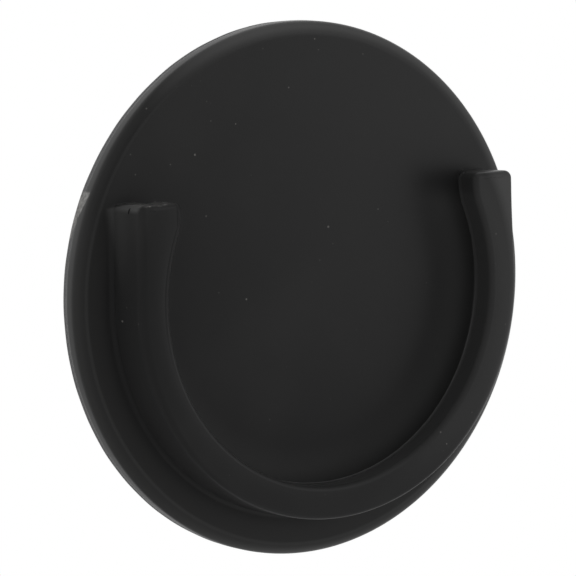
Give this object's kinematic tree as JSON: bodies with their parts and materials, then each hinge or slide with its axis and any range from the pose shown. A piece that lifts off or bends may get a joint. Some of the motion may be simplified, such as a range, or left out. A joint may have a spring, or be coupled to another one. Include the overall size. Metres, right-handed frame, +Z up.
{
  "type": "phone holder stand",
  "caption": "Round stick-on phone cradle: a soft-covered disc with a horseshoe wall and inward lip, open at the top, that the grip on a phone's back slides down into.",
  "frame": {"origin": "centre of the round rear face of the adhesive pad, where it meets the wall", "axes": "+Y points into the wall, out of the pad's rear face; the front faces -Y; +Z is up, towards the open mouth of the horseshoe; +X is to the right as seen from the front"},
  "size_m": [0.053, 0.0078, 0.053],
  "materials": {
    "soft_cover": "matt moulded silicone",
    "hard_plastic": "fine satin moulding",
    "foam": "closed cell acrylic foam",
    "adhesive": "clear tacky film"
  },
  "bodies": {
    "root": {"cradle_cover": "soft_cover", "stiffening_frame": "hard_plastic", "front_adhesive": "adhesive", "foam_core": "foam", "rear_adhesive": "adhesive"}
  },
  "joints": []
}
